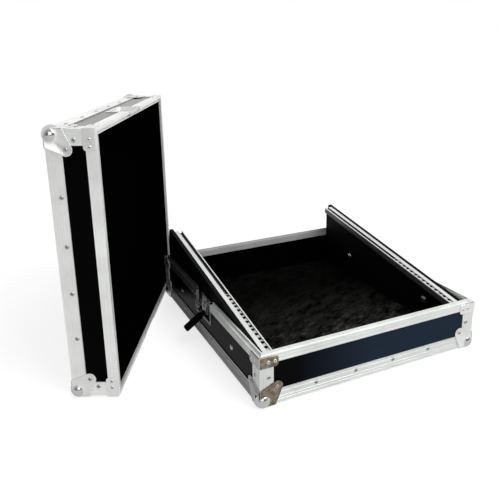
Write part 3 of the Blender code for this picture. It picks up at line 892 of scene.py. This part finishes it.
class FLIGHTCASE_OT_rivets(bpy.types.Operator):
    """Rivets along the edge sections and the corner posts"""
    bl_idname = "flightcase.rivets"
    bl_label = "Rivets"

    corner = 50.0
    up_the_post = 0.56

    def execute(self, context):
        settings = bpy.context.scene.flight_case_rivet
        for prefix, shell, top, _corners, _sides in SHELLS:
            places = []
            for index in range(4):
                wall = wall_frame(shell, index)
                for along in self.row(wall_length(index), settings.pitch):
                    places.append(wall @ facing_out(along, settings.from_edge))
                    places.append(wall @ facing_down(along, settings.from_edge))
                middle = top * self.up_the_post
                places.append(wall @ facing_out(settings.from_edge, middle))
                places.append(wall @ facing_across(settings.from_edge, middle))
            put(f"{prefix}_rivets", repeated(rivet_head(settings.radius), places),
                IN_PLACE, prefix, ("rivet_head", "rivet_head", "painted_recess_shade"))
        return {"FINISHED"}

    def row(self, length, pitch):
        """Places of an even row of rivets, set about the middle of a side."""
        count = int((length - 2 * self.corner) // pitch) + 1
        count -= count % 2
        return [length / 2 + pitch * (index - (count - 1) / 2) for index in range(count)]


class FLIGHTCASE_OT_edge_beads(bpy.types.Operator):
    """Raised bead along the border of each edge section and post"""
    bl_idname = "flightcase.edge_beads"
    bl_label = "Edge beads"

    radius = 0.8
    leg = 29.4
    sunk = 0.2
    start = 31.0
    before_lip = 1.0
    lips = {"tray": 17.0, "lid": 21.0}

    def execute(self, context):
        for prefix, shell, top, _corners, _sides in SHELLS:
            tall = top - self.lips[prefix] - self.start - self.before_lip
            beads = bmesh.new()
            for index in range(4):
                wall = wall_frame(shell, index)
                length = wall_length(index) - 2 * self.start
                sides = ((self.leg, self.sunk), (self.sunk, self.leg))
                for up, inward in sides:
                    self.add(beads, wall @ moved(self.start, inward, up) @ spun(90, "Y"), length)
                for x, y in sides:
                    self.add(beads, wall @ moved(x, y, self.start), tall)
            put(f"{prefix}_edge_beads", beads, IN_PLACE, prefix,
                ("bead_aluminium",))
        return {"FINISHED"}

    def add(self, beads, matrix, length):
        """Half round rod along the local z."""
        rod = turned(((0.0, 0.0), (self.radius * 0.6, 0.0), (self.radius, 0.6),
                      (self.radius, length - 0.6), (self.radius * 0.6, length),
                      (0.0, length)), 8)
        joined(beads, placed(rod, matrix))


def latch_frame(shell, index, up):
    """Frame at the joint line over a latch, at its middle along the wall."""
    along = bpy.context.scene.flight_case_latch.place
    if (shell is TRAY) != (index == 1):
        along = LENGTH - along
    return wall_frame(shell, index) @ moved(along, 0, up)


class FLIGHTCASE_OT_latch_dishes(bpy.types.Operator):
    """Pressed half dishes of the latches and of their keepers, with rivets and the spindle head"""
    bl_idname = "flightcase.latch_dishes"
    bl_label = "Latch dishes"

    wide = 100.0
    tall = 54.0
    flange = 7.0
    depth = 7.3
    sheet = 0.9
    inward = 0.3
    below_rim = 0.2
    rivets = ((-46.6, -10.0), (-46.6, -40.0), (46.6, -10.0), (46.6, -40.0), (-24.0, -50.4),
              (24.0, -50.4))
    rivet = 2.3
    bar_size = (85.4, 2.0, 2.9)
    bar_middle = (0, 3.9, -1.45)
    spindle_inward = 3.7
    slot_size = (6.6, 0.9, 0.2)
    slot_middle = (0, 0, 0.84)

    def execute(self, context):
        for prefix, shell, top, _corners, sides in SHELLS:
            for index in (1, 3):
                side = sides[index]
                kind = "latch" if prefix == "tray" else "keeper"
                dish = self.dish()
                if kind == "keeper":
                    joined(dish, self.bar())
                put(f"{prefix}_{side}_pressed_dish", dish,
                    latch_frame(shell, index, top - self.below_rim), prefix,
                    (f"{kind}_plate", "rivet_head", "painted_recess_shade"),
                    (f"{prefix}_{side}_{kind}_dish",))
                if kind == "latch":
                    self.spindle(side, shell, index, top)
        return {"FINISHED"}

    def dish(self):
        """Pressed half dish in the wall's plane, open at the joint line."""
        half, inner = self.wide / 2, self.wide / 2 - self.flange
        low, floor = self.tall, self.tall - self.flange
        deep = -self.depth
        bm = bmesh.new()
        rows = [self.u_shape(bm, *row) for row in (
            (half + 0.2, low + 0.2, 6.2, -1.1), (half, low, 6.0, -0.35),
            (half - 0.3, low - 0.3, 5.7, 0.0), (inner + 0.9, floor + 0.9, 4.4, 0.0),
            (inner + 0.3, floor + 0.3, 3.8, -0.25), (inner, floor, 3.5, -0.9),
            (inner - 0.5, floor - 0.5, 3.0, deep + 1.8),
            (inner - 1.0, floor - 1.0, 2.5, deep + 0.6), (inner - 2.2, floor - 2.2, 2.0, deep))]
        for outer, following in zip(rows, rows[1:]):
            for index in range(len(outer) - 1):
                bm.faces.new((outer[index], outer[index + 1], following[index + 1],
                              following[index]))
        bm.faces.new(rows[-1])
        outward(bm)
        if sum(face.normal.z * face.calc_area() for face in bm.faces) < 0:
            bmesh.ops.reverse_faces(bm, faces=bm.faces)
        bmesh.ops.solidify(bm, geom=bm.faces[:], thickness=self.sheet)
        joined(bm, repeated(rivet_head(self.rivet), [moved(x, y, 0) for x, y in self.rivets]))
        return placed(bm, facing_out(0, 0, -self.inward))

    def u_shape(self, bm, wide, tall, radius, height):
        """Vertices down one side, round both lower corners and up the other side."""
        places = [(-wide, 0.0)]
        steps = 6
        for side, start in ((-1, math.pi), (1, 1.5 * math.pi)):
            for step in range(steps + 1):
                angle = start + math.pi / 2 * step / steps
                places.append((side * (wide - radius) + radius * math.cos(angle),
                               radius - tall + radius * math.sin(angle)))
        places.append((wide, 0.0))
        return [bm.verts.new((x, y, height)) for x, y in places]

    def bar(self):
        """Keeper bar across the lid's dish, which the hook pulls on."""
        bm = block(self.bar_size, self.bar_middle)
        along = [edge for edge in bm.edges if abs(edge.verts[0].co.x - edge.verts[1].co.x) > 1]
        soften(bm, along, 0.7, 3)
        return bm

    def spindle(self, side, shell, index, top):
        """Slotted head in the middle of the turn plate."""
        drop = bpy.context.scene.flight_case_latch.spindle_drop
        head = turned(((0.0, 0.0), (6.2, 0.0), (6.6, 0.15), (6.2, 0.4), (4.8, 0.5), (4.4, 0.75),
                       (3.6, 0.88), (1.6, 0.92), (0.0, 0.9)), 28)
        slot = block(self.slot_size, self.slot_middle)
        soften(slot, slot.edges, 0.05, 1)
        # The slot takes the painted shade.
        for face in slot.faces:
            face.material_index = 1
        joined(head, slot)
        place = latch_frame(shell, index, top - drop) @ facing_out(0, 0, -self.spindle_inward)
        put(f"{side}_latch_spindle_head", head, place, f"{side}_turn",
            ("zinc_plate", "painted_recess_shade"))


class FLIGHTCASE_OT_latch_handles(bpy.types.Operator):
    """Folding handle of each latch, standing out as in the photograph"""
    bl_idname = "flightcase.latch_handles"
    bl_label = "Latch handles"

    wide = 29.0
    long = 57.0
    neck = 7.9
    sheet = 1.6
    inward = 0.6
    pressed = ((3.0, 0.0), (0.7, -0.45))
    round_rim = 0.35
    hinge_depth = 1.9

    def execute(self, context):
        settings = bpy.context.scene.flight_case_latch
        for index, side in ((1, "right"), (3, "left")):
            up = TRAY_TOP - settings.spindle_drop - settings.hinge_drop
            hinge = latch_frame(TRAY, index, up) @ moved(0, self.hinge_depth, 0)
            folded_out = hinge @ Matrix.Rotation(settings.handle_open, 4, "X")
            put(f"{side}_folding_handle", self.handle(), folded_out, f"{side}_handle",
                ("black_lacquer",), (f"{side}_latch_handle",))
        return {"FINISHED"}

    def handle(self):
        """Pressed handle, drawn pointing up from its hinge: y runs into the wall."""
        half = self.wide / 2
        bm = bmesh.new()
        faces = outline_face(bm, (
            (-self.neck, 0.95, 0), (self.neck, 0.95, 0), (self.neck, 5.2, 0), (half, 7.2, 4.5),
            (half, self.long, 5.5), (-half, self.long, 5.5), (-half, 7.2, 4.5),
            (-self.neck, 5.2, 0)))
        outer = raised(bm, faces, self.sheet)
        rim = list(outer[0].edges)
        stepped(bm, outer, *self.pressed)
        soften(bm, rim, self.round_rim)
        placed(outward(bm), facing_out(0, 0, -self.inward))
        barrel = turned(((1.1, -self.neck), (1.5, -self.neck), (1.5, self.neck),
                         (1.1, self.neck), (1.1, -self.neck)), 16)
        return joined(bm, placed(barrel, spun(90, "Y")))


class FLIGHTCASE_OT_lid_facing(bpy.types.Operator):
    """Matt black facing glued inside the lid, up to its rim"""
    bl_idname = "flightcase.lid_facing"
    bl_label = "Lid facing"

    inside = 10.9
    behind = 9.2
    below_rim = 5.0
    fold = 1.5
    sheet = 0.8

    def execute(self, context):
        low = Vector((self.inside, self.inside, self.behind))
        high = Vector((WIDTH - self.inside, LENGTH - self.inside, LID_TOP - self.below_rim))
        bm = block(high - low, (low + high) / 2)
        mouth = [face for face in bm.faces if face.normal.z > 0.5]
        bmesh.ops.delete(bm, geom=mouth, context="FACES_ONLY")
        soften(bm, [edge for edge in bm.edges if not edge.is_boundary], self.fold, 3)
        bmesh.ops.reverse_faces(outward(bm), faces=bm.faces)
        bmesh.ops.solidify(bm, geom=bm.faces[:], thickness=-self.sheet)
        put("lid_black_facing", outward(bm), LID, "lid", ("lid_facing",))
        return {"FINISHED"}


class FLIGHTCASE_OT_board_bolts(bpy.types.Operator):
    """Bolts that hold the rail boards: washer heads inside and round heads outside"""
    bl_idname = "flightcase.board_bolts"
    bl_label = "Board bolts"

    places = ((140.0, 59.0), (460.0, 63.0))
    board_face = 20.5
    wall_face = 1.8

    def execute(self, context):
        inside = []
        outside = []
        for y, z in self.places:
            for board, wall, turn in ((self.board_face, self.wall_face, 90),
                                      (WIDTH - self.board_face, WIDTH - self.wall_face, -90)):
                inside.append(moved(board, y, z) @ spun(turn, "Y"))
                outside.append(moved(wall, y, z) @ spun(-turn, "Y"))
        nut = turned(((0.0, 0.0), (8.2, 0.0), (8.6, 0.5), (8.2, 1.1), (6.0, 1.3), (5.9, 2.4),
                      (4.6, 3.3), (2.2, 3.9), (0.0, 4.0)), 24)
        head = turned(((0.0, -0.5), (6.4, -0.5), (6.4, 0.1), (5.6, 0.9), (3.6, 1.5),
                       (0.0, 1.75)), 24)
        bolts = joined(repeated(nut, inside), repeated(head, outside))
        put("tray_board_bolts", bolts, TRAY, "tray", ("bolt_zinc",))
        return {"FINISHED"}


class FLIGHTCASE_OT_strip_hole_shades(bpy.types.Operator):
    """Dark inserts in the holes of the tapped strips, in the rack's spacing: painted shade in the
    holes.
    """
    bl_idname = "flightcase.strip_threads"
    # The inserts paint shade in the holes.
    bl_label = "Strip threads"

    rail_start = (20.8, 14.0, 97.286)
    slope = math.atan(0.1633)
    slot_middle = 14.0
    strip_start = 6.0
    strip_top = -2.0
    first = 6.35
    pitches = (15.875, 15.875, 12.7)
    count = 15

    def execute(self, context):
        across, start, height = self.rail_start
        for side, sign, x in (("left", 1, across), ("right", -1, WIDTH - across)):
            rail = TRAY @ moved(x, start, height) @ Matrix.Rotation(self.slope, 4, "X")
            places = []
            along = self.strip_start + self.first
            for index in range(self.count):
                places.append(moved(sign * self.slot_middle, along, self.strip_top))
                along += self.pitches[index % 3]
            hole_insert = turned(((0.0, -3.4), (2.5, -3.4), (2.7, -0.6), (3.3, -0.1), (4.2, 0.02),
                             (4.3, 0.14), (3.5, 0.2), (2.9, 0.05), (2.4, -0.5), (2.2, -3.2),
                             (0.0, -3.2)), 16)
            put(f"{side}_strip_threads", repeated(hole_insert, places), rail, f"{side}_strip",
                ("black_thread",))
        return {"FINISHED"}


class FLIGHTCASE_OT_liner(bpy.types.Operator):
    """Felt laid on the tray's floor"""
    bl_idname = "flightcase.liner"
    bl_label = "Floor liner"

    cells = (54, 64)
    clear = 0.001
    middle_height = 0.0021
    wave_height = 0.0003
    fine_height = 0.00012
    felt = 0.0016
    smooth_to = 60.0

    def execute(self, context):
        low, high = (Vector(corner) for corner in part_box("tray_floor_liner"))
        size = high - low
        bm = bmesh.new()
        bmesh.ops.create_grid(bm, x_segments=self.cells[0], y_segments=self.cells[1], size=0.5)
        bmesh.ops.scale(bm, vec=(size.x - self.clear, size.y - self.clear, 1.0), verts=bm.verts)
        placed(bm, moved((low.x + high.x) / 2, (low.y + high.y) / 2, low.z))
        for vert in bm.verts:
            wave = math.sin(vert.co.x * 21 + 1.1) * math.sin(vert.co.y * 17 + 0.4)
            fine = math.sin(vert.co.x * 63 + vert.co.y * 41)
            vert.co.z += self.middle_height + self.wave_height * wave + self.fine_height * fine
        liner = new_object("tray_felt_liner", bm, self.smooth_to)
        thick = liner.modifiers.new("thickness", "SOLIDIFY")
        thick.thickness = self.felt
        thick.offset = -1.0
        liner.data.materials.append(bpy.data.materials["crushed_felt"])
        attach(liner, "tray")
        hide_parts("tray_floor_liner")
        return {"FINISHED"}


class FLIGHTCASE_PT_parts(bpy.types.Panel):
    """Parts of the case, in the order they are made"""
    bl_label = "Flight case"
    bl_idname = "FLIGHTCASE_PT_parts"
    bl_space_type = "VIEW_3D"
    bl_region_type = "UI"
    bl_category = "Flight case"

    def draw(self, context):
        layout = self.layout
        for operator in OPERATORS:
            layout.operator(operator.bl_idname)


SETTINGS = {
    "flight_case_camera": CameraSettings,
    "flight_case_finish": FinishSettings,
    "flight_case_corner": CornerSettings,
    "flight_case_rivet": RivetSettings,
    "flight_case_latch": LatchSettings,
}
OPERATORS = (FLIGHTCASE_OT_stage, FLIGHTCASE_OT_finishes, FLIGHTCASE_OT_ball_corners,
             FLIGHTCASE_OT_closing_brackets, FLIGHTCASE_OT_rivets, FLIGHTCASE_OT_edge_beads,
             FLIGHTCASE_OT_latch_dishes, FLIGHTCASE_OT_latch_handles, FLIGHTCASE_OT_lid_facing,
             FLIGHTCASE_OT_board_bolts, FLIGHTCASE_OT_strip_hole_shades, FLIGHTCASE_OT_liner)
CLASSES = (*SETTINGS.values(), *OPERATORS, FLIGHTCASE_PT_parts)


def register():
    for item in CLASSES:
        bpy.utils.register_class(item)
    for name, kind in SETTINGS.items():
        setattr(bpy.types.Scene, name, bpy.props.PointerProperty(type=kind))


def unregister():
    for name in SETTINGS:
        delattr(bpy.types.Scene, name)
    for item in reversed(CLASSES):
        bpy.utils.unregister_class(item)


def main():
    register()
    bpy.ops.flightcase.stage()
    bpy.ops.flightcase.finishes()
    bpy.ops.flightcase.ball_corners()
    bpy.ops.flightcase.closing_brackets()
    bpy.ops.flightcase.rivets()
    bpy.ops.flightcase.edge_beads()
    bpy.ops.flightcase.latch_dishes()
    bpy.ops.flightcase.latch_handles()
    bpy.ops.flightcase.lid_facing()
    bpy.ops.flightcase.board_bolts()
    bpy.ops.flightcase.strip_threads()
    bpy.ops.flightcase.liner()


if __name__ == "__main__":
    main()
